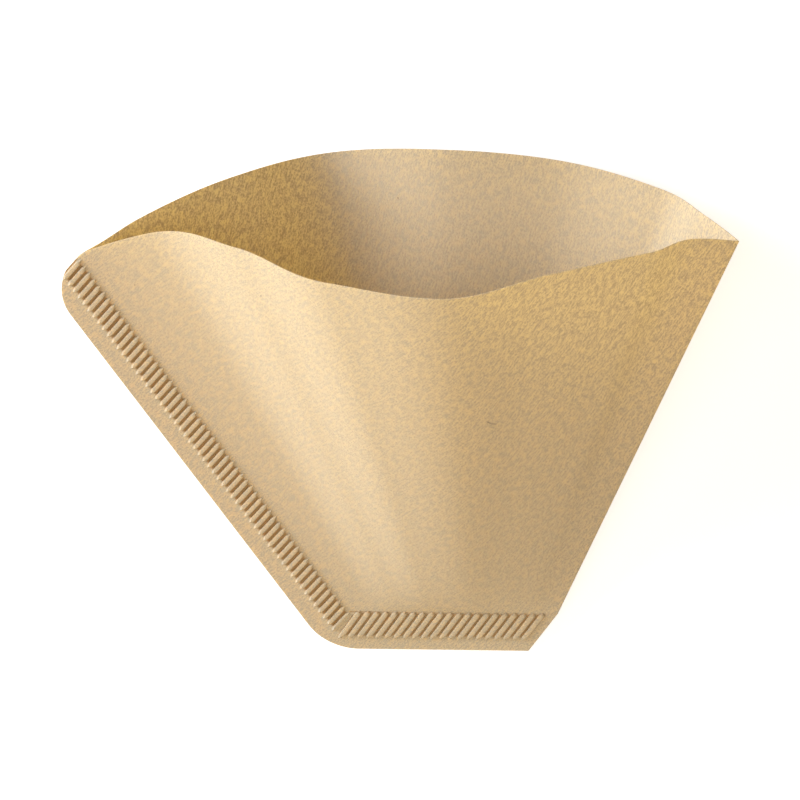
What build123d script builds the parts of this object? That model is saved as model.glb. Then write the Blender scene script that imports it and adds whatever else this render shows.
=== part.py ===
"""Cone filter of crimped paper, size 4, opened and lying on its back panel.

One sheet is folded once along one side. Its other side and its bottom are crimped
together in an L-shaped flange with embossed ribs. The mouth is cut as a shallow arc.

It is worked out in the plane of the flange: X to the right along the bottom, Y up
towards the mouth, Z out of the front panel. At the end it is laid down as it rests.
"""
import math
import os

from build123d import *

# The sheet
PAPER = 0.2
AIR_GAP = 0.1

# The flat filter: its bottom edge, the lean of its sides, and the arc of its mouth
BASE_WIDTH = 50.0
SIDE_ANGLE = 33.0
SIDE_LENGTH = 125.0
MOUTH_RADIUS = 205.0
BOTTOM_CORNER_RADIUS = 15.0
MOUTH_CORNER_RADIUS = 12.0

# The crimped bands, from the cut edge to the line where the two layers part
SEAM_BAND = 10.8
BOTTOM_BAND = 10.8

# The embossed ribs of the bands
RIB_HEIGHT = 0.35
RIB_FLANK_ANGLE = 35.0
RIB_POINT = 1.0
SEAM_RIB_MARGIN = 4.1
SEAM_RIB_REACH = 6.6
SEAM_RIB_PITCH = 2.04
SEAM_RIB_WIDTH = 1.15
SEAM_RIB_ANGLE = 51.0
BOTTOM_RIB_MARGIN = 3.2
BOTTOM_RIB_REACH = 7.3
BOTTOM_RIB_PITCH = 2.27
BOTTOM_RIB_WIDTH = 1.5
BOTTOM_RIB_ANGLE = 57.5
RIB_END_GAP = 3.0

# How far the front panel stands open at the mouth, and how the panels swell where they
# leave the bottom band: how much they gain there, and over what rise
FRONT_DEPTH = 40.0
BOTTOM_SWELL = 4.5
SWELL_RISE = 5.0

# Depth of each panel from the seam (0) to the fold (1), as shares of its greatest depth.
# Beside the fold the front keeps a flatter strip, with a soft knee at its edge.
STATION_SHARES = (0.0, 0.10, 0.25, 0.40, 0.55, 0.70, 0.85, 0.93, 1.0)
FRONT_DEPTH_SHARES = (0.0, 0.04, 0.42, 0.83, 0.99, 0.74, 0.39, 0.135, 0.0)
BACK_DEPTH_SHARES = (0.0, 0.26, 0.68, 1.0, 0.87, 0.80, 0.55, 0.26, 0.0)

# The flat facets of the panels: across each one, and the heights of their corners as
# shares of the way up to the mouth, closest together over the swell
FACETS_ACROSS = 32
HEIGHT_SHARES = (0.0, 0.015, 0.033, 0.057, 0.09, 0.14, 0.24, 0.36, 0.48, 0.61, 0.74, 0.87, 1.0)
RIM_STEPS = 2 * FACETS_ACROSS
FOLD_SEARCH_STEPS = 30

# One overrun for the cut of the mouth's corner
OVERRUN = 6.0

HALF_FLANGE = PAPER + AIR_GAP / 2
LEAN_SIN = math.sin(math.radians(SIDE_ANGLE))
LEAN_COS = math.cos(math.radians(SIDE_ANGLE))
LEAN_TAN = LEAN_SIN / LEAN_COS

# Landmarks of the flat filter
MOUTH_CENTRE_Y = SIDE_LENGTH * LEAN_COS - math.sqrt(
    MOUTH_RADIUS**2 - (BASE_WIDTH / 2 + SIDE_LENGTH * LEAN_SIN) ** 2
)
INNER_LEFT_X = SEAM_BAND / LEAN_COS - BASE_WIDTH / 2 - BOTTOM_BAND * LEAN_TAN
INNER_RIGHT_X = BASE_WIDTH / 2 + BOTTOM_BAND * LEAN_TAN


def depth_share(shares, across):
    """A smooth curve through the stations, level where it leaves the seam."""
    last = len(shares) - 1
    slopes = [0.0]
    for i in range(1, last):
        before = STATION_SHARES[i] - STATION_SHARES[i - 1]
        after = STATION_SHARES[i + 1] - STATION_SHARES[i]
        rise_before = (shares[i] - shares[i - 1]) / before
        rise_after = (shares[i + 1] - shares[i]) / after
        level = rise_before * rise_after <= 0
        blend = 0.0 if level else (before + after) / (before / rise_before + after / rise_after)
        slopes.append(blend)
    slopes.append((shares[last] - shares[last - 1]) / (STATION_SHARES[last] - STATION_SHARES[last - 1]))
    k = max(i for i in range(last) if STATION_SHARES[i] <= across)
    span = STATION_SHARES[k + 1] - STATION_SHARES[k]
    t = (across - STATION_SHARES[k]) / span
    return (
        shares[k] * (1 + 2 * t) * (1 - t) ** 2
        + slopes[k] * span * t * (1 - t) ** 2
        + shares[k + 1] * t * t * (3 - 2 * t)
        + slopes[k + 1] * span * t * t * (t - 1)
    )


def mouth_point(turn):
    """A point of the mouth's arc, by its turn about the arc's centre."""
    return MOUTH_RADIUS * math.sin(turn), MOUTH_CENTRE_Y + MOUTH_RADIUS * math.cos(turn)


def flat_rim(across):
    """A point of the mouth's edge while the filter is still flat."""
    lean = math.radians(SIDE_ANGLE)
    start_x = INNER_LEFT_X
    start_y = BOTTOM_BAND - MOUTH_CENTRE_Y
    along = start_y * math.cos(lean) - start_x * math.sin(lean)
    reach = math.sqrt(along**2 + MOUTH_RADIUS**2 - start_x**2 - start_y**2) - along
    start = math.atan2(start_x - reach * math.sin(lean), start_y + reach * math.cos(lean))
    fold_x = BASE_WIDTH / 2 + SIDE_LENGTH * LEAN_SIN
    end = math.asin(fold_x / MOUTH_RADIUS)
    return mouth_point(start + (end - start) * across)


def base_x(across):
    """The foot of a panel's straight line, on the top of the bottom band."""
    return INNER_LEFT_X + (INNER_RIGHT_X - INNER_LEFT_X) * across


def open_rim(shares, depth):
    """The mouth's edge of an opened panel, from the seam to the fold.

    Paper bends and doesn't stretch, so every straight line up the panel keeps its
    length, and so does every step along the mouth. The list ends early where the
    paper can't follow the depth.
    """
    rim = []
    for i in range(RIM_STEPS + 1):
        across = i / RIM_STEPS
        flat_x, flat_y = flat_rim(across)
        z = depth * depth_share(shares, across)
        foot = base_x(across)
        if not rim:
            rim.append((flat_x, flat_y, z))
            last_flat = (flat_x, flat_y)
            continue
        x0, y0, z0 = rim[-1]
        rise_squared = (flat_x - foot) ** 2 + (flat_y - BOTTOM_BAND) ** 2 - z * z
        step_squared = (flat_x - last_flat[0]) ** 2 + (flat_y - last_flat[1]) ** 2 - (z - z0) ** 2
        gap = math.hypot(x0 - foot, y0 - BOTTOM_BAND)
        along = (rise_squared - step_squared + gap**2) / (2 * gap)
        if rise_squared < along**2:
            break
        side = math.sqrt(rise_squared - along**2)
        ux, uy = (x0 - foot) / gap, (y0 - BOTTOM_BAND) / gap
        rim.append((foot + along * ux + side * uy, BOTTOM_BAND + along * uy - side * ux, z))
        last_flat = (flat_x, flat_y)
    return rim


def matching_depth(shares, fold_tip_x):
    """The depth at which a panel reaches the same fold as the other one."""
    low, high = 0.0, 2 * FRONT_DEPTH
    for _ in range(FOLD_SEARCH_STEPS):
        middle = (low + high) / 2
        rim = open_rim(shares, middle)
        if len(rim) > RIM_STEPS and rim[-1][0] > fold_tip_x:
            low = middle
        else:
            high = middle
    return (low + high) / 2


FRONT_RIM = open_rim(FRONT_DEPTH_SHARES, FRONT_DEPTH)
BACK_DEPTH = matching_depth(BACK_DEPTH_SHARES, FRONT_RIM[-1][0])
BACK_RIM = open_rim(BACK_DEPTH_SHARES, BACK_DEPTH)
SEAM_TOP = FRONT_RIM[0]


def swell(rise):
    """How far a panel stands off at a rise above the bottom band, before it is scaled."""
    return rise + BOTTOM_SWELL * (1 - math.exp(-rise / SWELL_RISE))


def panel_point(rim, k, rise):
    """A point of a panel's inner face on the line up to one point of its rim."""
    rim_x, rim_y, rim_z = rim[k]
    foot = base_x(k / RIM_STEPS)
    full = rim_y - BOTTOM_BAND
    return foot + (rim_x - foot) * rise / full, AIR_GAP / 2 + rim_z * swell(rise) / swell(full)


def facet_corners(rim, share, side):
    """One row of a panel's corners, inside and outside, from the seam to the fold."""
    inner, outer = [], []
    for k in range(0, RIM_STEPS + 1, 2):
        rise = share * (rim[k][1] - BOTTOM_BAND)
        x, z = panel_point(rim, k, rise)
        x0, z0 = panel_point(rim, max(k - 1, 0), rise)
        x1, z1 = panel_point(rim, min(k + 1, RIM_STEPS), rise)
        run = math.hypot(x1 - x0, z1 - z0)
        normal = (0.0, 1.0) if k == 0 else ((z0 - z1) / run, (x1 - x0) / run)
        outer.append((x + PAPER * normal[0], BOTTOM_BAND + rise, side * (z + PAPER * normal[1])))
        if share == 0.0:
            rise = PAPER
            x, z = panel_point(rim, k, rise)
        inner.append((x, BOTTOM_BAND + rise, side * z))
    inner[0] = (inner[0][0] + PAPER, *inner[0][1:])
    return inner, outer


def facets_between(low, high):
    """The flat facets between two rows that have as many corners each."""
    facets = []
    for a, b, c, d in zip(low, low[1:], high[1:], high):
        facets += [(a, b, c), (a, c, d)]
    return facets


def panels():
    """Both panels with the fold between them, as one closed wall of flat facets."""
    facets = []
    for share in HEIGHT_SHARES:
        front_in, front_out = facet_corners(FRONT_RIM, share, 1)
        back_in, back_out = facet_corners(BACK_RIM, share, -1)
        crease = (front_in[-1][0] + HALF_FLANGE, front_out[-1][1], 0.0)
        outside = [*front_out, crease, *reversed(back_out), front_out[0]]
        inside = [*front_in, *reversed(back_in), front_in[0]]
        if share == 0.0:
            facets += [outside[1:], inside[1:]]
        else:
            facets += facets_between(outside_below, outside) + facets_between(inside_below, inside)
        outside_below, inside_below = outside, inside
    facets += facets_between(front_in, front_out) + facets_between(back_in, back_out)
    facets.append((front_in[-1], front_out[-1], crease, back_out[-1], back_in[-1]))
    facets.append((front_in[0], front_out[0], back_out[0], back_in[0]))
    return Solid(Shell([Face(Wire.make_polygon(corners)) for corners in facets]))


def flange():
    """The L of both crimped bands: two layers pressed flat, rounded at the bottom left."""
    corner = Vector(-BASE_WIDTH / 2, 0)
    inner_line = Wire.make_polygon(
        [(BASE_WIDTH / 2, 0), (INNER_RIGHT_X, BOTTOM_BAND), (INNER_LEFT_X, BOTTOM_BAND), SEAM_TOP[:2]],
        close=False,
    )
    outer_turn = -math.asin((BASE_WIDTH / 2 + SIDE_LENGTH * LEAN_SIN) / MOUTH_RADIUS)
    middle_turn = (outer_turn + math.asin(SEAM_TOP[0] / MOUTH_RADIUS)) / 2
    mouth = Edge.make_three_point_arc(SEAM_TOP[:2], mouth_point(middle_turn), mouth_point(outer_turn))
    cut_edge = Wire.make_polygon([mouth_point(outer_turn), corner, (BASE_WIDTH / 2, 0)], close=False)
    outline = Face(Wire([*inner_line.edges(), mouth, *cut_edge.edges()]))
    sharp = min(outline.vertices(), key=lambda v: (Vector(v) - corner).length)
    outline = outline.fillet_2d(BOTTOM_CORNER_RADIUS, [sharp])
    return extrude(Pos(0, 0, -HALF_FLANGE) * outline, amount=2 * HALF_FLANGE, dir=(0, 0, 1))


def bottom_nose():
    """The fold's creased edge beside the bottom band."""
    creases = [
        Wire.make_polygon([(x, y, HALF_FLANGE), (x + HALF_FLANGE, y, 0), (x, y, -HALF_FLANGE)])
        for x, y in ((BASE_WIDTH / 2, 0.0), (INNER_RIGHT_X, BOTTOM_BAND))
    ]
    return Solid.make_loft(creases, ruled=True)


def corner_cutter():
    """What the rounded corner takes off where the seam meets the mouth."""
    centre = Vector(0, MOUTH_CENTRE_Y)
    inward = Vector(LEAN_COS, LEAN_SIN)
    up = Vector(-LEAN_SIN, LEAN_COS)
    foot = Vector(-BASE_WIDTH / 2, 0) + inward * MOUTH_CORNER_RADIUS - centre
    along = foot.dot(up)
    climb = math.sqrt(along**2 + (MOUTH_RADIUS - MOUTH_CORNER_RADIUS) ** 2 - foot.dot(foot)) - along
    pivot = centre + foot + up * climb
    outward = (pivot - centre).normalized()
    seam_touch = pivot - inward * MOUTH_CORNER_RADIUS
    mouth_touch = pivot + outward * MOUTH_CORNER_RADIUS
    middle = pivot + (outward - inward).normalized() * MOUTH_CORNER_RADIUS
    seam_out = seam_touch - inward * OVERRUN
    mouth_out = mouth_touch + outward * OVERRUN
    far = pivot + (outward - inward) * (MOUTH_CORNER_RADIUS + OVERRUN)
    outline = Wire(
        [
            Edge.make_three_point_arc(seam_touch, middle, mouth_touch),
            Edge.make_line(mouth_touch, mouth_out),
            Edge.make_line(mouth_out, far),
            Edge.make_line(far, seam_out),
            Edge.make_line(seam_out, seam_touch),
        ]
    )
    return extrude(Pos(0, 0, -OVERRUN) * Face(outline), amount=2 * OVERRUN, dir=(0, 0, 1))


def crimp_rib(angle, length, width):
    """One raised rib, centred: a long bar with pointed ends and sloping flanks."""
    half, side = length / 2, width / 2
    shoulder = half - RIB_POINT
    outline = Wire.make_polygon(
        [(-half, 0), (-shoulder, -side), (shoulder, -side), (half, 0), (shoulder, side), (-shoulder, side)]
    )
    bar = extrude(Face(outline), amount=RIB_HEIGHT, dir=(0, 0, 1), taper=RIB_FLANK_ANGLE)
    return Rot(0, 0, angle) * bar


def seam_ribs():
    """The ribs up the seam, from the inner corner of the flange to the mouth."""
    skew = math.radians(SEAM_RIB_ANGLE - SIDE_ANGLE)
    length = SEAM_RIB_REACH / math.cos(skew)
    inward = SEAM_RIB_MARGIN + SEAM_RIB_REACH / 2 - SEAM_BAND
    climb = math.hypot(SEAM_TOP[0] - INNER_LEFT_X, SEAM_TOP[1] - BOTTOM_BAND)
    rib = crimp_rib(SEAM_RIB_ANGLE, length, SEAM_RIB_WIDTH)
    ribs = []
    for i in range(int(climb / SEAM_RIB_PITCH)):
        along = i * SEAM_RIB_PITCH - length / 2 * math.sin(skew)
        x = INNER_LEFT_X - along * LEAN_SIN + inward * LEAN_COS
        y = BOTTOM_BAND + along * LEAN_COS + inward * LEAN_SIN
        ribs.append(Pos(x, y, 0) * rib)
    return ribs


def bottom_ribs():
    """The ribs along the bottom, from beside the seam's last rib to the fold."""
    lean = math.radians(BOTTOM_RIB_ANGLE)
    length = BOTTOM_RIB_REACH / math.sin(lean)
    half_run = length / 2 * math.cos(lean)
    top_y = BOTTOM_RIB_MARGIN + BOTTOM_RIB_REACH
    seam_rib_x = INNER_LEFT_X - (BOTTOM_BAND - top_y) / math.tan(math.radians(SEAM_RIB_ANGLE))
    first_x = seam_rib_x + BOTTOM_RIB_PITCH - half_run
    last_x = BASE_WIDTH / 2 + top_y * LEAN_TAN - RIB_END_GAP - half_run
    rib = Pos(0, top_y - BOTTOM_RIB_REACH / 2, 0) * crimp_rib(BOTTOM_RIB_ANGLE, length, BOTTOM_RIB_WIDTH)
    count = int((last_x - first_x) / BOTTOM_RIB_PITCH) + 1
    return [Pos(first_x + i * BOTTOM_RIB_PITCH, 0, 0) * rib for i in range(count)]


def embossed_flange():
    """The flange with its ribs, which leave the same hollows in the back."""
    ribs = seam_ribs() + bottom_ribs()
    raised = [Pos(0, 0, HALF_FLANGE) * rib for rib in ribs]
    hollows = [Pos(0, 0, -HALF_FLANGE) * rib for rib in ribs]
    return (flange() + raised) - hollows


def filter_paper():
    return embossed_flange() + [panels(), bottom_nose()] - corner_cutter()


def lay_down(paper):
    """Turn the filter on its back until its bottom edge and its mouth both touch the ground."""
    tilt = max(math.degrees(math.atan2(z + PAPER, y)) for _, y, z in BACK_RIM)
    laid = Rot(tilt, 0, 0) * paper
    box = laid.bounding_box()
    return Pos(-box.center().X, -box.center().Y, -box.min.Z) * laid


os.makedirs("parts", exist_ok=True)
export_step(lay_down(filter_paper()), "parts/filter_paper.step")
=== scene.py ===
"""A cone filter of crimped paper, opened and lying on its back, with its finish and its stage.

The paper is drawn flat first, as it is cut. Its bands are crimped, and then its panels
are opened, which keeps every straight line up a panel and every step along the mouth as
long as it was.
"""
import math
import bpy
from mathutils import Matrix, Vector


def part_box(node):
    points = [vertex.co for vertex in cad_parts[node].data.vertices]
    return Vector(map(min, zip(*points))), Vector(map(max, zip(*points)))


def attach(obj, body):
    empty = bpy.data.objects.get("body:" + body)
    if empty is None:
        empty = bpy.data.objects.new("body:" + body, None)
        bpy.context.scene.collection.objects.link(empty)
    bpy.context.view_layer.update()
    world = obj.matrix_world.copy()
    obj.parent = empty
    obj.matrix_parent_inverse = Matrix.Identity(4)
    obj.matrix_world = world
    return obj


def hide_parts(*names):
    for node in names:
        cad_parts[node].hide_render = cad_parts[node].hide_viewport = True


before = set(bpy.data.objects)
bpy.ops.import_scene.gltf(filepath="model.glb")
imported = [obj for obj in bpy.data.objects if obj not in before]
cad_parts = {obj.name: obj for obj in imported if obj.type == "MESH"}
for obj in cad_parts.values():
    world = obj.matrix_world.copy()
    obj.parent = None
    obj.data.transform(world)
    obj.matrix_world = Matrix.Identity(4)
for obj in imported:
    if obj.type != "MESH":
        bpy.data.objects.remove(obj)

from types import SimpleNamespace

import bmesh
import bpy
from bpy.props import FloatProperty, FloatVectorProperty, IntProperty, PointerProperty
from mathutils import Matrix, Vector

bl_info = {
    "name": "Crimped Paper Filter",
    "version": (1, 0, 0),
    "blender": (4, 5, 0),
    "location": "3D View > Sidebar > Filter",
    "description": "A crimped paper filter that lies open on its back, with its finish and stage",
    "category": "Add Mesh",
}

NODE = "filter_paper"
MM = 0.001

# Which band a vertex lies in, as its rib_band attribute says
PLAIN, SEAM, BOTTOM = 0, 1, 2

# Depth of each panel from the seam (0) to the fold (1), as shares of its greatest depth
STATION_SHARES = (0.0, 0.10, 0.25, 0.40, 0.55, 0.70, 0.85, 0.93, 1.0)
FRONT_DEPTH_SHARES = (0.0, 0.04, 0.42, 0.83, 0.99, 0.74, 0.39, 0.135, 0.0)
BACK_DEPTH_SHARES = (0.0, 0.26, 0.68, 1.0, 0.87, 0.80, 0.55, 0.26, 0.0)

# Where the mesh has its rows across a band: margin, rib ends and ribs, from the cut edge
# (0) to the line where the layers part (1)
BAND_ROW_SHARES = (
    (0.0, 0.10, 0.20, 0.28, 0.34, 0.375, 0.40, 0.425, 0.45, 0.475, 0.53, 0.60)
    + (0.68, 0.76, 0.84, 0.88, 0.905, 0.93, 0.955, 0.98, 1.0)
)

# Where each rib has its lines, from one ridge (0) to the next (1)
RIDGE_LINE_SHARES = (0.0, 0.12, 0.20, 0.27, 0.34, 0.5, 0.66, 0.73, 0.80, 0.88)


class FilterPattern(bpy.types.PropertyGroup):
    """The flat filter, as it is cut and folded."""

    base_width: FloatProperty(
        name="Base width", description="Length of the bottom edge", default=50 * MM, unit="LENGTH"
    )
    side_lean: FloatProperty(
        name="Side lean", description="Lean of both sides", default=math.radians(33), subtype="ANGLE"
    )
    side_length: FloatProperty(
        name="Side length", description="Length of the seam and the fold", default=125 * MM, unit="LENGTH"
    )
    mouth_radius: FloatProperty(
        name="Mouth radius", description="Radius of the arc of the mouth", default=205 * MM, unit="LENGTH"
    )
    bottom_corner: FloatProperty(
        name="Bottom corner", description="Radius where seam and bottom meet", default=15 * MM,
        unit="LENGTH",
    )
    mouth_corner: FloatProperty(
        name="Mouth corner", description="Radius where seam and mouth meet", default=12 * MM, unit="LENGTH"
    )
    seam_band: FloatProperty(
        name="Seam band", description="Width of the crimped seam", default=10.8 * MM, unit="LENGTH"
    )
    bottom_band: FloatProperty(
        name="Bottom band", description="Width of the crimped bottom", default=10.8 * MM, unit="LENGTH"
    )
    thickness: FloatProperty(
        name="Paper", description="Thickness of the paper", default=0.2 * MM, unit="LENGTH",
        precision=5,
    )
    air_gap: FloatProperty(
        name="Air gap", description="Air between crimped layers", default=0.1 * MM, unit="LENGTH",
        precision=5,
    )
    front_depth: FloatProperty(
        name="Front depth", description="How far the front stands open", default=40 * MM, unit="LENGTH"
    )
    bottom_swell: FloatProperty(
        name="Bottom swell", description="How much the panels gain above the bottom", default=4.5 * MM,
        unit="LENGTH",
    )
    swell_rise: FloatProperty(
        name="Swell rise", description="Over what rise they gain it", default=5 * MM, unit="LENGTH"
    )
    rim_steps: IntProperty(
        name="Rim steps", description="Faces along the mouth of each panel", default=96, min=8
    )
    rise_steps: IntProperty(
        name="Rise steps", description="Faces up each panel", default=56, min=8
    )


def crimp_props(pitch, width, height, margin, reach, point, lean):
    """The sizes of one band's ribs, as properties with these defaults."""
    return {
        "pitch": FloatProperty(
            name="Pitch", description="From rib to rib along the band", default=pitch, unit="LENGTH"
        ),
        "width": FloatProperty(
            name="Width", description="Width of a rib along the band", default=width, unit="LENGTH"
        ),
        "height": FloatProperty(
            name="Height", description="How far a rib is pressed out", default=height, unit="LENGTH"
        ),
        "margin": FloatProperty(
            name="Margin", description="From the cut edge to the ribs", default=margin, unit="LENGTH"
        ),
        "reach": FloatProperty(
            name="Reach", description="How much of the band the ribs take", default=reach, unit="LENGTH"
        ),
        "point": FloatProperty(
            name="Point", description="Length of the pointed ends", default=point, unit="LENGTH"
        ),
        "lean": FloatProperty(
            name="Lean", description="Angle of the ribs to the bottom", default=lean, subtype="ANGLE"
        ),
    }


class FilterSeamRibs(bpy.types.PropertyGroup):
    """The ribs up the seam: round ridges with narrower grooves between them."""

    __annotations__ = crimp_props(
        pitch=2.04 * MM, width=1.40 * MM, height=0.5 * MM, margin=4.1 * MM, reach=6.6 * MM,
        point=1.0 * MM, lean=math.radians(51),
    )


class FilterBottomRibs(bpy.types.PropertyGroup):
    """The ribs along the bottom: wide lands with thin grooves between them."""

    __annotations__ = crimp_props(
        pitch=2.27 * MM, width=1.75 * MM, height=0.5 * MM, margin=3.2 * MM, reach=8.0 * MM,
        point=0.9 * MM, lean=math.radians(57.5),
    )


class FilterFinish(bpy.types.PropertyGroup):
    """Unbleached filter paper."""

    face_colour: FloatVectorProperty(
        name="Face", description="Colour of the paper in plain light",
        default=(0.94, 0.835, 0.62), subtype="COLOR", min=0, max=1,
    )
    thin_glow: FloatVectorProperty(
        name="Thin glow", description="Colour that light takes on at a face where the paper is thin",
        default=(1.0, 0.82, 0.40), subtype="COLOR", min=0, max=1,
    )
    thick_glow: FloatVectorProperty(
        name="Thick glow", description="Colour that light takes on at a face where the paper is thick",
        default=(0.36, 0.22, 0.0), subtype="COLOR", min=0, max=1,
    )
    glow: FloatProperty(
        name="Glow share", description="How much of the light goes through", default=0.56, min=0, max=1
    )
    flock_size: FloatProperty(
        name="Flock size", description="Size of the flocks of fibre", default=1.3 * MM, unit="LENGTH"
    )
    streak_size: FloatProperty(
        name="Streak size", description="Width of the streaks of fibre", default=0.5 * MM, unit="LENGTH"
    )
    grain_size: FloatProperty(
        name="Grain size", description="Size of the surface's grain", default=0.4 * MM, unit="LENGTH"
    )
    fibre_lean: FloatProperty(
        name="Fibre lean", description="Way that the streaks run, from the bottom edge",
        default=math.radians(48), subtype="ANGLE",
    )
    # Multiplies the colour in the ribs' grooves and along the crease above the bottom's band: painted
    # shade, which in the grooves also stands for the pressed paper's own darker colour
    groove_press_and_shade: FloatVectorProperty(
        name="Groove tint", description="What the colour is multiplied by where the paper is pressed",
        default=(0.70, 0.53, 0.35), subtype="COLOR", min=0, max=1,
    )
    fibre_tint: FloatVectorProperty(
        name="Fibre tint", description="What the colour is multiplied by at the stray dark fibres",
        default=(0.28, 0.20, 0.13), subtype="COLOR", min=0, max=1,
    )


class FilterStage(bpy.types.PropertyGroup):
    """The camera, the lamps and the floor."""

    view_azimuth: FloatProperty(
        name="View azimuth", description="Where the camera stands, from +X", default=math.radians(83.66),
        subtype="ANGLE",
    )
    view_elevation: FloatProperty(
        name="View elevation", description="How far above the floor it looks from",
        default=math.radians(78.33), subtype="ANGLE",
    )
    view_roll: FloatProperty(
        name="View roll", description="Turn of the camera about its view", default=math.radians(186.885),
        subtype="ANGLE",
    )
    view_distance: FloatProperty(
        name="View distance", description="From the camera to its aim", default=1.1679, unit="LENGTH"
    )
    view_aim: FloatVectorProperty(
        name="View aim", description="The point it looks at", default=(0.21 * MM, 4.07 * MM, 20 * MM),
        subtype="TRANSLATION", unit="LENGTH",
    )
    lens: FloatProperty(name="Lens", description="Focal length in millimetres", default=217.49)
    key_power: FloatProperty(
        name="Key power", description="The low lamp beyond the seam, in watts", default=11.0
    )
    high_power: FloatProperty(
        name="High power", description="The lamp above the key lamp, in watts", default=4.6
    )
    side_power: FloatProperty(
        name="Side power", description="The lamp beyond the bottom corner, in watts", default=2.4
    )
    front_power: FloatProperty(
        name="Front power", description="The lamp on the bottom's side, in watts", default=4.2
    )
    top_power: FloatProperty(name="Top power", description="The lamp overhead, in watts", default=2.5)
    sky: FloatProperty(name="Sky", description="Strength of the room's own light", default=0.18)


def landmarks(pattern):
    """The places of the flat filter that its sizes give. X runs along the bottom, Y up."""
    sin, cos = math.sin(pattern.side_lean), math.cos(pattern.side_lean)
    tan = sin / cos
    half_mouth = pattern.base_width / 2 + pattern.side_length * sin
    centre_y = pattern.side_length * cos - math.sqrt(pattern.mouth_radius**2 - half_mouth**2)
    inner_left = pattern.seam_band / cos - pattern.base_width / 2 - pattern.bottom_band * tan
    return SimpleNamespace(
        sin=sin,
        cos=cos,
        tan=tan,
        half_mouth=half_mouth,
        mouth_centre=Vector((0, centre_y)),
        seam_foot=Vector((-pattern.base_width / 2, 0)),
        fold_foot=Vector((pattern.base_width / 2, 0)),
        inner_left=Vector((inner_left, pattern.bottom_band)),
        inner_right=Vector((pattern.base_width / 2 + pattern.bottom_band * tan, pattern.bottom_band)),
        seam_up=Vector((-sin, cos)),
        seam_out=Vector((-cos, -sin)),
        fold_up=Vector((sin, cos)),
    )


def depth_share(shares, across):
    """A smooth curve through the stations, level where it leaves the seam."""
    last = len(shares) - 1
    slopes = [0.0]
    for i in range(1, last):
        before = STATION_SHARES[i] - STATION_SHARES[i - 1]
        after = STATION_SHARES[i + 1] - STATION_SHARES[i]
        rise_before = (shares[i] - shares[i - 1]) / before
        rise_after = (shares[i + 1] - shares[i]) / after
        level = rise_before * rise_after <= 0
        slopes.append(0.0 if level else (before + after) / (before / rise_before + after / rise_after))
    slopes.append((shares[last] - shares[last - 1]) / (STATION_SHARES[last] - STATION_SHARES[last - 1]))
    k = max(i for i in range(last) if STATION_SHARES[i] <= across)
    span = STATION_SHARES[k + 1] - STATION_SHARES[k]
    t = (across - STATION_SHARES[k]) / span
    return (
        shares[k] * (1 + 2 * t) * (1 - t) ** 2
        + slopes[k] * span * t * (1 - t) ** 2
        + shares[k + 1] * t * t * (3 - 2 * t)
        + slopes[k + 1] * span * t * t * (t - 1)
    )


def flat_rim(pattern, marks, across):
    """A point of the mouth's edge while the filter is flat, from the seam to the fold."""
    start = marks.inner_left - marks.mouth_centre
    along = start.dot(marks.seam_up)
    reach = math.sqrt(along**2 + pattern.mouth_radius**2 - start.length_squared) - along
    seam_top = start + reach * marks.seam_up
    start_turn = math.atan2(seam_top.x, seam_top.y)
    end_turn = math.asin(marks.half_mouth / pattern.mouth_radius)
    turn = start_turn + (end_turn - start_turn) * across
    return marks.mouth_centre + pattern.mouth_radius * Vector((math.sin(turn), math.cos(turn)))


def open_rim(pattern, marks, shares, depth):
    """The mouth's edge of an opened panel, from the seam to the fold."""
    rim = []
    for i in range(pattern.rim_steps + 1):
        across = i / pattern.rim_steps
        flat = flat_rim(pattern, marks, across)
        foot = marks.inner_left.lerp(marks.inner_right, across)
        z = depth * depth_share(shares, across)
        if not rim:
            rim.append(Vector((flat.x, flat.y, z)))
            last_flat = flat
            continue
        rise_squared = (flat - foot).length_squared - z * z
        step_squared = (flat - last_flat).length_squared - (z - rim[-1].z) ** 2
        to_last = rim[-1].to_2d() - foot
        gap = to_last.length
        along = (rise_squared - step_squared + gap**2) / (2 * gap)
        side = math.sqrt(rise_squared - along**2)
        outward = Vector((to_last.y, -to_last.x)) / gap
        place = foot + to_last * (along / gap) + outward * side
        rim.append(Vector((place.x, place.y, z)))
        last_flat = flat
    return rim


def back_rim(pattern, marks, fold_tip_x):
    """The back panel's rim, opened until it reaches the front panel's fold."""
    low, high = 0.0, pattern.front_depth
    for _ in range(FOLD_SEARCH_STEPS):
        middle = (low + high) / 2
        rim = open_rim(pattern, marks, BACK_DEPTH_SHARES, middle)
        if rim[-1].x > fold_tip_x:
            low = middle
        else:
            high = middle
    return rim


FOLD_SEARCH_STEPS = 30


def in_rounding(point, centre, normal_a, normal_b, radius):
    """False where a rounded corner is cut off past its arc."""
    off = point - centre
    wedge = Matrix(((normal_a.x, normal_b.x), (normal_a.y, normal_b.y))).inverted() @ off
    return min(wedge) < 0 or off.length <= radius


def band_outline(pattern, marks):
    """A test of whether a point of the crimped bands lies on the paper."""
    slope = pattern.bottom_corner / math.tan((math.pi / 2 + pattern.side_lean) / 2)
    low_centre = marks.seam_foot + Vector((slope, pattern.bottom_corner))
    inset = marks.seam_foot - marks.seam_out * pattern.mouth_corner - marks.mouth_centre
    along = inset.dot(marks.seam_up)
    inner_radius = pattern.mouth_radius - pattern.mouth_corner
    climb = math.sqrt(along**2 + inner_radius**2 - inset.length_squared) - along
    high_centre = marks.mouth_centre + inset + marks.seam_up * climb
    high_out = (high_centre - marks.mouth_centre).normalized()

    def on_paper(point):
        return (
            point.y >= -EDGE_SLACK
            and (point - marks.seam_foot).dot(marks.seam_out) <= EDGE_SLACK
            and (point - marks.mouth_centre).length <= pattern.mouth_radius + EDGE_SLACK
            and in_rounding(point, low_centre, Vector((0, -1)), marks.seam_out, pattern.bottom_corner)
            and in_rounding(point, high_centre, marks.seam_out, high_out, pattern.mouth_corner)
        )

    return on_paper


EDGE_SLACK = 0.001 * MM
CLIP_SAMPLES = 48
CLIP_STEPS = 16


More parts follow.
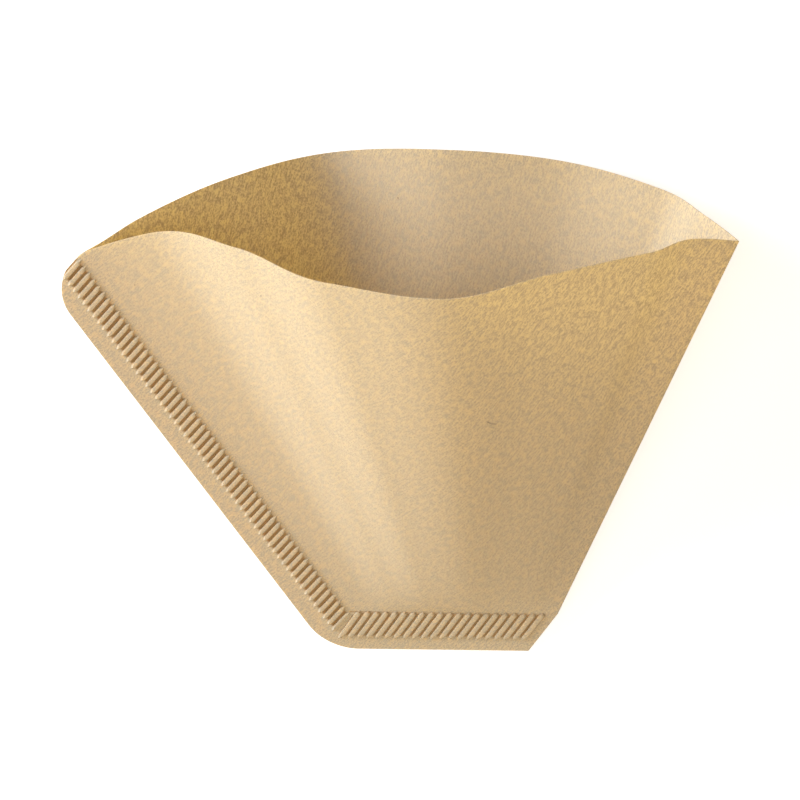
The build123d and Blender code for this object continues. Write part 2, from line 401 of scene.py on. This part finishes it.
def clipped_span(on_paper, inner, outer):
    """The part of a line across a band that lies on the paper, as two shares of it."""
    shares = [i / CLIP_SAMPLES for i in range(CLIP_SAMPLES + 1)]
    inside = [s for s in shares if on_paper(inner.lerp(outer, s))]
    if not inside:
        return None
    ends = []
    for end, step in ((inside[0], -1 / CLIP_SAMPLES), (inside[-1], 1 / CLIP_SAMPLES)):
        good, bad = end, end + step
        if 0 <= bad <= 1:
            for _ in range(CLIP_STEPS):
                middle = (good + bad) / 2
                if on_paper(inner.lerp(outer, middle)):
                    good = middle
                else:
                    bad = middle
        ends.append(min(max(good, 0.0), 1.0))
    return ends


def band_lines(pattern, seam, bottom, marks, on_paper):
    """Lines across the crimped bands, side by side along the ribs' own slant.

    Each starts where the layers part and ends at the cut edge: from the mouth down the
    seam, round the corner, and along the bottom to the fold.
    """
    lines = []
    skew = seam.lean - pattern.side_lean
    slant = -Vector((math.cos(seam.lean), math.sin(seam.lean))) * (pattern.seam_band / math.cos(skew))
    seam_top = flat_rim(pattern, marks, 0.0)
    seam_length = (seam_top - marks.inner_left).length
    seam_length *= clipped_span(on_paper, marks.inner_left, seam_top)[1]
    past_mouth = pattern.seam_band * math.tan(skew) + pattern.seam_band
    places = []
    ribs = int((seam_length + past_mouth) / seam.pitch) + 1
    for i in range(ribs):
        places += [(i + share) * seam.pitch for share in RIDGE_LINE_SHARES]
    clear = LINE_CLEARANCE_SHARE * seam.pitch
    places = sorted([p for p in places if abs(p - seam_length) > clear] + [seam_length])
    for place in reversed(places):
        inner = marks.inner_left + marks.seam_up * place
        lines.append(
            SimpleNamespace(
                inner=inner, outer=inner + slant, along=place, band=SEAM, beside_panel=place <= seam_length
            )
        )

    rise = pattern.bottom_band
    first_foot = marks.inner_left - Vector((rise / math.tan(bottom.lean), rise))
    seam_foot = lines[-1].outer
    for i in range(1, FAN_LINES):
        outer = seam_foot.lerp(first_foot, i / FAN_LINES)
        lines.append(
            SimpleNamespace(inner=marks.inner_left, outer=outer, along=0.0, band=PLAIN, beside_panel=True)
        )

    run = marks.inner_right.x - marks.inner_left.x
    ribs = int(run / bottom.pitch) + 1
    places = [(i + share) * bottom.pitch for i in range(ribs) for share in RIDGE_LINE_SHARES]
    places = [p for p in places if p < run - LINE_CLEARANCE_SHARE * bottom.pitch] + [run]
    last_rib = run - RIB_END_GAP
    for place in places:
        share = place / run
        inner = marks.inner_left.lerp(marks.inner_right, share)
        outer = first_foot.lerp(marks.fold_foot, share)
        band = BOTTOM if bottom.pitch / 2 < place < last_rib else PLAIN
        lines.append(SimpleNamespace(inner=inner, outer=outer, along=place, band=band, beside_panel=True))
    return lines


# How near a rib's line may come to a band's end, as a share of the pitch
LINE_CLEARANCE_SHARE = 0.1
FAN_LINES = 5
RIB_END_GAP = 2.6 * MM


def build_layer(bm, layers, pattern, lines, rim, marks, on_paper, side):
    """One layer of the paper: its bands and its panel. Returns its vertices beside the fold.

    Each vertex keeps its place on the unfolded sheet (flat), how far it lies in from the
    seam's band and above the bottom's (in_panel), and its place among the ribs.
    """
    level = side * (pattern.air_gap + pattern.thickness) / 2
    band_width = {SEAM: pattern.seam_band, BOTTOM: pattern.bottom_band, PLAIN: pattern.bottom_band}

    def add(place, flat, line=None, share=0.0):
        vert = bm.verts.new(place)
        vert[layers.flat] = flat_place(marks, flat, side)
        inwards = (marks.inner_left - flat).dot(marks.seam_out)
        vert[layers.in_panel] = (inwards, flat.y - pattern.bottom_band, 0.0)
        if line:
            vert[layers.along] = line.along
            vert[layers.inward] = share * band_width[line.band]
            vert[layers.band] = line.band
        return vert

    columns = []
    inner_edge = []
    for line in lines:
        span = clipped_span(on_paper, line.inner, line.outer)
        if span is None:
            continue
        column = []
        for row in BAND_ROW_SHARES:
            share = min(max(1 - row, span[0]), span[1])
            flat = line.inner.lerp(line.outer, share)
            if column and (column[-1].co.to_2d() - flat).length < MERGE_DISTANCE:
                column.append(column[-1])
                continue
            column.append(add((flat.x, flat.y, level), flat, line, 1 - share))
        if line.band == PLAIN and columns and line.inner == marks.inner_left:
            bm.verts.remove(column[-1])
            column[-1] = columns[-1][-1]
        columns.append(column)
        if line.beside_panel and not (inner_edge and inner_edge[-1] is column[-1]):
            inner_edge.append(column[-1])
    for left, right in zip(columns, columns[1:]):
        for i in range(len(BAND_ROW_SHARES) - 1):
            add_face(bm, (left[i], right[i], right[i + 1], left[i + 1]), side)

    panel = []
    for i in range(1, pattern.rim_steps + 1):
        across = i / pattern.rim_steps
        foot = marks.inner_left.lerp(marks.inner_right, across)
        flat_top = flat_rim(pattern, marks, across)
        reach = clipped_span(on_paper, foot, flat_top)[1]
        column = []
        for j in range(1, pattern.rise_steps + 1):
            climb = reach * (j / pattern.rise_steps) ** RISE_EASE
            flat = foot.lerp(flat_top, climb)
            place = foot.lerp(rim[i].to_2d(), climb)
            full = swell(pattern, rim[i].y - pattern.bottom_band)
            lift = rim[i].z * swell(pattern, place.y - pattern.bottom_band) / full
            column.append(add((place.x, place.y, level + side * lift), flat))
        panel.append(column)
    for left, right in zip(panel, panel[1:]):
        for j in range(pattern.rise_steps - 1):
            add_face(bm, (left[j], right[j], right[j + 1], left[j + 1]), side)
    panel_edge = list(reversed(panel[0])) + [column[0] for column in panel[1:]]
    zip_edges(bm, inner_edge, panel_edge, side)
    return columns[-1] + panel[-1]


RISE_EASE = 1.5
MERGE_DISTANCE = 0.01 * MM


def swell(pattern, rise):
    """How far a panel stands off at a rise above the bottom band, before it is scaled."""
    return rise + pattern.bottom_swell * (1 - math.exp(-rise / pattern.swell_rise))


def flat_place(marks, flat, side):
    """Where a point lies on the unfolded sheet: the back layer is mirrored about the fold."""
    off = flat - marks.fold_foot
    if side < 0:
        off = 2 * off.dot(marks.fold_up) * marks.fold_up - off
    return off.x, off.y, 0.0


def add_face(bm, corners, side):
    """A face, unless its corners fall together. The back layer faces the other way."""
    kept = [c for i, c in enumerate(corners) if c is not corners[i - 1]]
    if len(set(kept)) < 3:
        return
    bm.faces.new(kept if side > 0 else list(reversed(kept)))


def zip_edges(bm, first, second, side):
    """Fill between two rows of vertices that have different spacing."""
    i = j = 0
    while i < len(first) - 1 or j < len(second) - 1:
        step_first = j == len(second) - 1
        if i < len(first) - 1 and not step_first:
            step_first = (first[i + 1].co - second[j].co).length < (second[j + 1].co - first[i].co).length
        if step_first:
            add_face(bm, (first[i], first[i + 1], second[j]), side)
            i += 1
        else:
            add_face(bm, (first[i], second[j + 1], second[j]), side)
            j += 1


def paper_sheet(pattern, seam, bottom):
    """The whole sheet as one surface: front layer, fold and back layer, bands still flat."""
    marks = landmarks(pattern)
    front = open_rim(pattern, marks, FRONT_DEPTH_SHARES, pattern.front_depth)
    back = back_rim(pattern, marks, front[-1].x)
    on_paper = band_outline(pattern, marks)
    lines = band_lines(pattern, seam, bottom, marks, on_paper)
    bm = bmesh.new()
    layers = SimpleNamespace(
        flat=bm.verts.layers.float_vector.new("flat"),
        in_panel=bm.verts.layers.float_vector.new("in_panel"),
        along=bm.verts.layers.float.new("rib_along"),
        inward=bm.verts.layers.float.new("rib_inward"),
        band=bm.verts.layers.float.new("rib_band"),
    )
    near = build_layer(bm, layers, pattern, lines, front, marks, on_paper, 1)
    far = build_layer(bm, layers, pattern, lines, back, marks, on_paper, -1)
    crease = []
    for a, b in zip(near, far):
        middle = (a.co + b.co) / 2 + Vector((1, 0, 0)) * (pattern.air_gap + pattern.thickness) / 2
        vert = bm.verts.new(middle)
        vert[layers.flat] = a[layers.flat]
        vert[layers.in_panel] = a[layers.in_panel]
        crease.append(vert)
    for i in range(len(crease) - 1):
        add_face(bm, (near[i], crease[i], crease[i + 1], near[i + 1]), 1)
        add_face(bm, (crease[i], far[i], far[i + 1], crease[i + 1]), 1)
    mesh = bpy.data.meshes.new("filter_paper_sheet")
    bm.to_mesh(mesh)
    bm.free()
    tilt = max(math.atan2(p.z + pattern.thickness, p.y) for p in back)
    return mesh, tilt


def calculator(tree):
    """A function that adds a sum to a node tree and returns its result."""

    def calc(operation, *values):
        node = tree.nodes.new("ShaderNodeMath")
        node.operation = operation
        for socket, value in zip(node.inputs, values):
            if isinstance(value, (int, float)):
                socket.default_value = value
            else:
                tree.links.new(value, socket)
        return node.outputs[0]

    return calc


def crimp_tree(name, material):
    """Geometry nodes that press a row of pointed ribs into one band of a sheet.

    They also store how far the paper is pressed down between the ribs, as rib_groove, which the material
    uses to paint shade into the grooves along with the pressed paper's own darker colour.
    """
    tree = bpy.data.node_groups.new(name, "GeometryNodeTree")
    tree.is_modifier = True
    tree.interface.new_socket("Geometry", in_out="INPUT", socket_type="NodeSocketGeometry")
    for label in ("Band", "Pitch", "Width", "Height", "Margin", "Reach", "Point", "Flank"):
        tree.interface.new_socket(label, in_out="INPUT", socket_type="NodeSocketFloat")
    tree.interface.new_socket("Geometry", in_out="OUTPUT", socket_type="NodeSocketGeometry")
    enter = tree.nodes.new("NodeGroupInput")
    leave = tree.nodes.new("NodeGroupOutput")
    join = tree.links.new
    calc = calculator(tree)

    def attribute(label):
        node = tree.nodes.new("GeometryNodeInputNamedAttribute")
        node.data_type = "FLOAT"
        node.inputs["Name"].default_value = label
        return node.outputs["Attribute"]

    size = enter.outputs
    along, inward, band = (attribute(a) for a in ("rib_along", "rib_inward", "rib_band"))
    turns = calc("DIVIDE", along, size["Pitch"])
    off_ridge = calc("SUBTRACT", turns, calc("ROUND", turns))
    beside = calc("MULTIPLY", calc("ABSOLUTE", off_ridge), size["Pitch"])
    from_outer = calc("SUBTRACT", inward, size["Margin"])
    from_inner = calc("SUBTRACT", size["Reach"], from_outer)
    to_end = calc("DIVIDE", calc("MINIMUM", from_outer, from_inner), size["Point"])
    narrowing = calc("MINIMUM", calc("MAXIMUM", to_end, 0.0), 1.0)
    half_width = calc("MULTIPLY", calc("MULTIPLY", size["Width"], 0.5), narrowing)
    slope = calc("DIVIDE", calc("SUBTRACT", half_width, beside), size["Flank"])
    ramp = tree.nodes.new("ShaderNodeMapRange")
    ramp.interpolation_type = "SMOOTHSTEP"
    join(slope, ramp.inputs["Value"])
    on_band = calc("COMPARE", band, size["Band"], BAND_TOLERANCE)
    raised = calc("MULTIPLY", ramp.outputs["Result"], on_band)
    lift = tree.nodes.new("ShaderNodeCombineXYZ")
    join(calc("MULTIPLY", raised, size["Height"]), lift.inputs["Z"])

    move = tree.nodes.new("GeometryNodeSetPosition")
    join(size["Geometry"], move.inputs["Geometry"])
    join(lift.outputs["Vector"], move.inputs["Offset"])
    # A groove ends where the ribs beside it have narrowed by half
    between = calc("MAXIMUM", calc("MULTIPLY_ADD", narrowing, 2.0, -1.0), 0.0)
    pressed = calc("MULTIPLY", calc("SUBTRACT", 1.0, ramp.outputs["Result"]), between)
    # rib_groove is the mask of the painted shade in the grooves, partly the pressed paper's own darker
    # colour
    keep = tree.nodes.new("GeometryNodeStoreNamedAttribute")
    keep.data_type = "FLOAT"
    keep.domain = "POINT"
    keep.inputs["Name"].default_value = "rib_groove"
    join(move.outputs["Geometry"], keep.inputs["Geometry"])
    join(
        calc("ADD", attribute("rib_groove"), calc("MULTIPLY", pressed, on_band)),
        next(socket for socket in keep.inputs if socket.name == "Value" and socket.enabled),
    )
    realize = tree.nodes.new("GeometryNodeRealizeInstances")
    join(keep.outputs["Geometry"], realize.inputs["Geometry"])
    finish = tree.nodes.new("GeometryNodeSetMaterial")
    finish.inputs["Material"].default_value = material
    join(realize.outputs["Geometry"], finish.inputs["Geometry"])
    join(finish.outputs["Geometry"], leave.inputs["Geometry"])
    return tree


RIB_FLANK = 0.32 * MM
BAND_TOLERANCE = 0.25


def crimp(piece, tree, band, ribs):
    """Put one band's ribs on a piece, as a modifier."""
    sizes = {
        "Band": float(band),
        "Pitch": ribs.pitch,
        "Width": ribs.width,
        "Height": ribs.height,
        "Margin": ribs.margin,
        "Reach": ribs.reach,
        "Point": ribs.point,
        "Flank": RIB_FLANK,
    }
    modifier = piece.modifiers.new(tree.name, "NODES")
    modifier.node_group = tree
    for item in tree.interface.items_tree:
        if item.in_out == "INPUT" and item.name in sizes:
            modifier[item.identifier] = sizes[item.name]


def bake_modifiers(piece):
    """Replace a piece's mesh by its evaluated one, and drop its modifiers."""
    bpy.context.view_layer.update()
    evaluated = piece.evaluated_get(bpy.context.evaluated_depsgraph_get())
    mesh = bpy.data.meshes.new_from_object(evaluated)
    piece.modifiers.clear()
    old = piece.data
    piece.data = mesh
    bpy.data.meshes.remove(old)


def lay_down(piece, tilt):
    """Turn the paper on its back, to where the frame has it."""
    mesh = piece.data
    mesh.transform(Matrix.Rotation(tilt, 4, "X"))
    corners = [v.co for v in mesh.vertices]
    low = Vector([min(c[i] for c in corners) for i in range(3)])
    high = Vector([max(c[i] for c in corners) for i in range(3)])
    frame_low, frame_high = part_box(NODE)
    shift = (frame_low + frame_high) / 2 - (low + high) / 2
    shift.z = frame_low.z - low.z
    mesh.transform(Matrix.Translation(shift))


SHARP_ANGLE = math.radians(40)


def paper_material(finish):
    """Unbleached paper: matt and finely grained, and light comes through it in flocks.

    Where the fibre is thick, less light comes through and a little more is thrown back. The ribs' grooves
    and the crease above the bottom's band get painted shade, which in the grooves also stands for the
    pressed paper's own darker colour.
    """
    material = bpy.data.materials.new("unbleached_filter_paper")
    material.use_nodes = True
    nodes, links = material.node_tree.nodes, material.node_tree.links
    nodes.clear()
    calc = calculator(material.node_tree)

    def attribute(label, output):
        node = nodes.new("ShaderNodeAttribute")
        node.attribute_name = label
        return node.outputs[output]

    flat = attribute("flat", "Vector")

    def noise(size, stretch, detail):
        mapping = nodes.new("ShaderNodeMapping")
        mapping.vector_type = "TEXTURE"
        mapping.inputs["Rotation"].default_value[2] = finish.fibre_lean
        mapping.inputs["Scale"].default_value = (size * stretch, size, size)
        links.new(flat, mapping.inputs["Vector"])
        node = nodes.new("ShaderNodeTexNoise")
        node.inputs["Scale"].default_value = 1.0
        node.inputs["Detail"].default_value = detail
        node.inputs["Roughness"].default_value = NOISE_ROUGHNESS
        links.new(mapping.outputs["Vector"], node.inputs["Vector"])
        return node.outputs["Fac"]

    def blend(values, shares):
        total = 0.0
        for value, share in zip(values, shares):
            total = calc("MULTIPLY_ADD", value, share, total)
        return total

    def ramp(value, low, high):
        node = nodes.new("ShaderNodeValToRGB")
        for element, place, colour in zip(node.color_ramp.elements, RAMP_ENDS, (low, high)):
            element.position = place
            element.color = (*colour, 1.0)
        links.new(value, node.inputs["Fac"])
        return node.outputs["Color"]

    def tinted(colour, tint, share):
        node = nodes.new("ShaderNodeMix")
        node.data_type = "RGBA"
        node.blend_type = "MULTIPLY"
        links.new(share, node.inputs["Factor"])
        ends = [socket for socket in node.inputs if socket.type == "RGBA"]
        links.new(colour, ends[0])
        ends[1].default_value = (*tint, 1.0)
        return next(socket for socket in node.outputs if socket.type == "RGBA")

    def fading(distance, reach):
        node = nodes.new("ShaderNodeMapRange")
        node.interpolation_type = "SMOOTHSTEP"
        node.inputs["From Min"].default_value = reach
        node.inputs["From Max"].default_value = 0.0
        links.new(distance, node.inputs["Value"])
        return node.outputs["Result"]

    def from_fibre(place, length, turn):
        mapping = nodes.new("ShaderNodeMapping")
        mapping.vector_type = "TEXTURE"
        mapping.inputs["Location"].default_value = (*place, 0.0)
        mapping.inputs["Rotation"].default_value[2] = turn
        mapping.inputs["Scale"].default_value = (length / 2, FIBRE_WIDTH / 2, 1.0)
        links.new(flat, mapping.inputs["Vector"])
        node = nodes.new("ShaderNodeVectorMath")
        node.operation = "LENGTH"
        links.new(mapping.outputs["Vector"], node.inputs[0])
        return node.outputs["Value"]

    flocks = noise(finish.flock_size, FLOCK_STRETCH, FLOCK_DETAIL)
    streaks = noise(finish.streak_size, STREAK_STRETCH, STREAK_DETAIL)
    grain = noise(finish.grain_size, GRAIN_STRETCH, GRAIN_DETAIL)
    formation = blend((flocks, streaks, grain), FORMATION_SHARES)
    surface = blend((flocks, streaks, grain), SURFACE_SHARES)

    places = nodes.new("ShaderNodeSeparateXYZ")
    links.new(attribute("in_panel", "Vector"), places.inputs["Vector"])
    # Painted shade: a thin dark line along the crease above the bottom's band, strongest near the seam
    crease = fading(calc("ABSOLUTE", places.outputs["Y"]), CREASE_WIDTH)
    depth = nodes.new("ShaderNodeMapRange")
    depth.inputs["From Max"].default_value = CREASE_FADE
    depth.inputs["To Min"].default_value = CREASE_START_SHARE
    depth.inputs["To Max"].default_value = CREASE_END_SHARE
    links.new(places.outputs["X"], depth.inputs["Value"])
    on_panel = calc("GREATER_THAN", places.outputs["X"], 0.0)
    crease_shade = calc("MULTIPLY", calc("MULTIPLY", crease, on_panel), depth.outputs["Result"])
    # Painted shade in the ribs' grooves and along the crease; in the grooves it also stands for the
    # pressed paper's own darker colour
    pressed = calc("MAXIMUM", attribute("rib_groove", "Fac"), crease_shade)
    nearest = FAR_OFF
    for place, length, turn in STRAY_FIBRES:
        nearest = calc("MINIMUM", from_fibre(place, length, turn), nearest)
    stray = fading(nearest, FIBRE_BLUR)

    def with_shade_and_fibres(colour):
        return tinted(tinted(colour, finish.groove_press_and_shade, pressed), finish.fibre_tint, stray)

    face = Vector(finish.face_colour)
    face_shade = with_shade_and_fibres(ramp(formation, face * THICK_FACE_SHARE, face * THIN_FACE_SHARE))
    glow_shade = with_shade_and_fibres(ramp(formation, finish.thick_glow, finish.thin_glow))

    bump = nodes.new("ShaderNodeBump")
    bump.inputs["Strength"].default_value = GRAIN_STRENGTH
    bump.inputs["Distance"].default_value = GRAIN_DEPTH
    links.new(surface, bump.inputs["Height"])

    shader = nodes.new("ShaderNodeBsdfPrincipled")
    shader.inputs["Roughness"].default_value = PAPER_ROUGHNESS
    shader.inputs["Specular IOR Level"].default_value = PAPER_SHEEN
    links.new(face_shade, shader.inputs["Base Color"])
    links.new(bump.outputs["Normal"], shader.inputs["Normal"])
    through = nodes.new("ShaderNodeBsdfTranslucent")
    links.new(glow_shade, through.inputs["Color"])
    both = nodes.new("ShaderNodeMixShader")
    both.inputs["Fac"].default_value = finish.glow
    links.new(shader.outputs["BSDF"], both.inputs[1])
    links.new(through.outputs["BSDF"], both.inputs[2])
    output = nodes.new("ShaderNodeOutputMaterial")
    links.new(both.outputs["Shader"], output.inputs["Surface"])
    return material


# The paper's noises: how long their features are for their width, and their finer detail
NOISE_ROUGHNESS = 0.6
FLOCK_STRETCH = 1.5
FLOCK_DETAIL = 2.0
STREAK_STRETCH = 3.5
STREAK_DETAIL = 1.0
GRAIN_STRETCH = 1.3
GRAIN_DETAIL = 1.0

# Shares of the flocks, the streaks and the grain in the paper's thickness and its surface
FORMATION_SHARES = (0.26, 0.34, 0.40)
SURFACE_SHARES = (0.15, 0.15, 0.70)

# The noise values at which the paper counts as thick and as thin
RAMP_ENDS = (0.42, 0.57)
THICK_FACE_SHARE = 1.05
THIN_FACE_SHARE = 0.95
GRAIN_STRENGTH = 0.3
GRAIN_DEPTH = 0.03 * MM
PAPER_ROUGHNESS = 0.9
PAPER_SHEEN = 0.25

# Painted shade along the crease above the bottom's band: its width, and how it fades away from the seam
CREASE_WIDTH = 0.30 * MM
CREASE_FADE = 22 * MM
CREASE_START_SHARE = 0.9
CREASE_END_SHARE = 0.25

# Dark fibres that strayed into the pulp: place from the fold's foot, length and turn
STRAY_FIBRES = (
    ((-3.1 * MM, 80.9 * MM), 1.9 * MM, math.radians(-52)),
    ((-1.9 * MM, 79.8 * MM), 1.6 * MM, math.radians(-34)),
    ((114.5 * MM, 25.4 * MM), 0.6 * MM, math.radians(20)),
    ((-94.9 * MM, 101.7 * MM), 0.5 * MM, math.radians(70)),
    ((-59.6 * MM, 109.9 * MM), 0.4 * MM, 0.0),
)
FIBRE_WIDTH = 0.36 * MM

# How far a fibre's edge fades, in half widths, and a distance past every fibre
FIBRE_BLUR = 1.4
FAR_OFF = 100.0


class FILTER_OT_paper(bpy.types.Operator):
    """Cut, crimp, fold and open the filter paper."""

    bl_idname = "filter.paper"
    bl_label = "Filter Paper"

    def execute(self, context):
        scene = context.scene
        pattern, seam, bottom = scene.filter_pattern, scene.filter_seam_ribs, scene.filter_bottom_ribs
        mesh, tilt = paper_sheet(pattern, seam, bottom)
        piece = bpy.data.objects.new("filter_paper_sheet", mesh)
        scene.collection.objects.link(piece)
        material = paper_material(scene.filter_finish)
        crimp(piece, crimp_tree("seam_ribs", material), SEAM, seam)
        crimp(piece, crimp_tree("bottom_ribs", material), BOTTOM, bottom)
        thicken = piece.modifiers.new("thickness", "SOLIDIFY")
        thicken.thickness = pattern.thickness
        thicken.offset = 0.0
        bake_modifiers(piece)
        lay_down(piece, tilt)
        piece.data.shade_smooth()
        piece.data.set_sharp_from_angle(angle=SHARP_ANGLE)
        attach(piece, "root")
        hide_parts(NODE)
        return {"FINISHED"}


def floor_material():
    """White paper board, which the camera sees as white wherever it is well lit."""
    material = bpy.data.materials.new("white_board")
    material.use_nodes = True
    nodes, links = material.node_tree.nodes, material.node_tree.links
    nodes.clear()
    board = nodes.new("ShaderNodeBsdfDiffuse")
    board.inputs["Color"].default_value = BOARD_COLOUR
    white = nodes.new("ShaderNodeEmission")
    white.inputs["Strength"].default_value = FLOOR_WHITENESS
    rays = nodes.new("ShaderNodeLightPath")
    none = nodes.new("ShaderNodeEmission")
    none.inputs["Strength"].default_value = 0.0
    seen = nodes.new("ShaderNodeMixShader")
    links.new(rays.outputs["Is Camera Ray"], seen.inputs["Fac"])
    links.new(none.outputs["Emission"], seen.inputs[1])
    links.new(white.outputs["Emission"], seen.inputs[2])
    both = nodes.new("ShaderNodeAddShader")
    links.new(board.outputs["BSDF"], both.inputs[0])
    links.new(seen.outputs["Shader"], both.inputs[1])
    output = nodes.new("ShaderNodeOutputMaterial")
    links.new(both.outputs["Shader"], output.inputs["Surface"])
    return material


BOARD_COLOUR = (0.8, 0.8, 0.8, 1.0)
FLOOR_WHITENESS = 0.55
FLOOR_REACH = 3.0


def add_floor():
    mesh = bpy.data.meshes.new("floor")
    ways = ((-1, -1), (1, -1), (1, 1), (-1, 1))
    corners = [(x * FLOOR_REACH, y * FLOOR_REACH, 0.0) for x, y in ways]
    mesh.from_pydata(corners, [], [(0, 1, 2, 3)])
    mesh.materials.append(floor_material())
    floor = bpy.data.objects.new("floor", mesh)
    bpy.context.scene.collection.objects.link(floor)


def add_lamp(name, azimuth, elevation, power, tint):
    """A soft square lamp that looks at the filter. Its angles are degrees, from +X and the floor."""
    lamp = bpy.data.lights.new(name, "AREA")
    lamp.size = LAMP_SIZE
    lamp.energy = power
    lamp.color = tint
    holder = bpy.data.objects.new(name, lamp)
    away = direction(math.radians(azimuth), math.radians(elevation)) * LAMP_DISTANCE
    holder.matrix_world = looking(LAMP_AIM + away, LAMP_AIM, 0.0)
    bpy.context.scene.collection.objects.link(holder)


LAMP_AIM = Vector((0, 0, 20 * MM))
LAMP_DISTANCE = 1.0
LAMP_SIZE = 0.4
KEY_TINT = (0.93, 1.0, 1.11)
FILL_TINT = (1.0, 0.88, 0.70)

# Each lamp's angles, the setting that holds its power, and its tint
LAMPS = {
    "key_lamp": (162, 14, "key_power", KEY_TINT),
    "high_lamp": (150, 25, "high_power", KEY_TINT),
    "side_lamp": (225, 30, "side_power", FILL_TINT),
    "front_lamp": (280, 35, "front_power", FILL_TINT),
    "top_lamp": (90, 85, "top_power", FILL_TINT),
}


def direction(azimuth, elevation):
    """The way to a place seen at these angles, from +X and from the floor."""
    level = math.cos(elevation)
    return Vector((level * math.cos(azimuth), level * math.sin(azimuth), math.sin(elevation)))


def looking(place, aim, roll):
    """A camera's or a lamp's matrix: at a place, looking at an aim, turned by a roll."""
    turn = (place - aim).to_track_quat("Z", "Y").to_matrix().to_4x4()
    return Matrix.Translation(place) @ turn @ Matrix.Rotation(roll, 4, "Z")


def add_camera(stage):
    away = direction(stage.view_azimuth, stage.view_elevation)
    aim = Vector(stage.view_aim)
    data = bpy.data.cameras.new("camera")
    data.lens = stage.lens
    camera = bpy.data.objects.new("camera", data)
    camera.matrix_world = looking(aim + away * stage.view_distance, aim, stage.view_roll)
    bpy.context.scene.collection.objects.link(camera)
    bpy.context.scene.camera = camera


def add_sky(strength):
    world = bpy.data.worlds.new("room")
    world.use_nodes = True
    background = world.node_tree.nodes["Background"]
    background.inputs["Color"].default_value = (*FILL_TINT, 1.0)
    background.inputs["Strength"].default_value = strength
    bpy.context.scene.world = world


class FILTER_OT_stage(bpy.types.Operator):
    """Set the floor, the lamps and the camera."""

    bl_idname = "filter.stage"
    bl_label = "Stage"

    def execute(self, context):
        stage = context.scene.filter_stage
        add_floor()
        for name, (azimuth, elevation, power, tint) in LAMPS.items():
            add_lamp(name, azimuth, elevation, getattr(stage, power), tint)
        add_sky(stage.sky)
        add_camera(stage)
        context.scene.view_settings.view_transform = "Standard"
        return {"FINISHED"}


class FILTER_PT_panel(bpy.types.Panel):
    """The filter's operators and sizes."""

    bl_idname = "FILTER_PT_panel"
    bl_label = "Paper Filter"
    bl_space_type = "VIEW_3D"
    bl_region_type = "UI"
    bl_category = "Filter"

    def draw(self, context):
        for operator in OPERATORS:
            self.layout.operator(operator.bl_idname)
        for name in GROUPS:
            group = getattr(context.scene, name)
            box = self.layout.box()
            for prop in group.bl_rna.properties:
                if prop.identifier not in ("name", "rna_type"):
                    box.prop(group, prop.identifier)


GROUPS = {
    "filter_pattern": FilterPattern,
    "filter_seam_ribs": FilterSeamRibs,
    "filter_bottom_ribs": FilterBottomRibs,
    "filter_finish": FilterFinish,
    "filter_stage": FilterStage,
}
OPERATORS = (FILTER_OT_paper, FILTER_OT_stage)


def register():
    for cls in (*GROUPS.values(), *OPERATORS, FILTER_PT_panel):
        bpy.utils.register_class(cls)
    for name, cls in GROUPS.items():
        setattr(bpy.types.Scene, name, PointerProperty(type=cls))


def unregister():
    for name in GROUPS:
        delattr(bpy.types.Scene, name)
    for cls in (FILTER_PT_panel, *OPERATORS, *GROUPS.values()):
        bpy.utils.unregister_class(cls)


def main():
    register()
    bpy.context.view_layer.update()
    bpy.ops.filter.paper()
    bpy.ops.filter.stage()


if __name__ == "__main__":
    main()
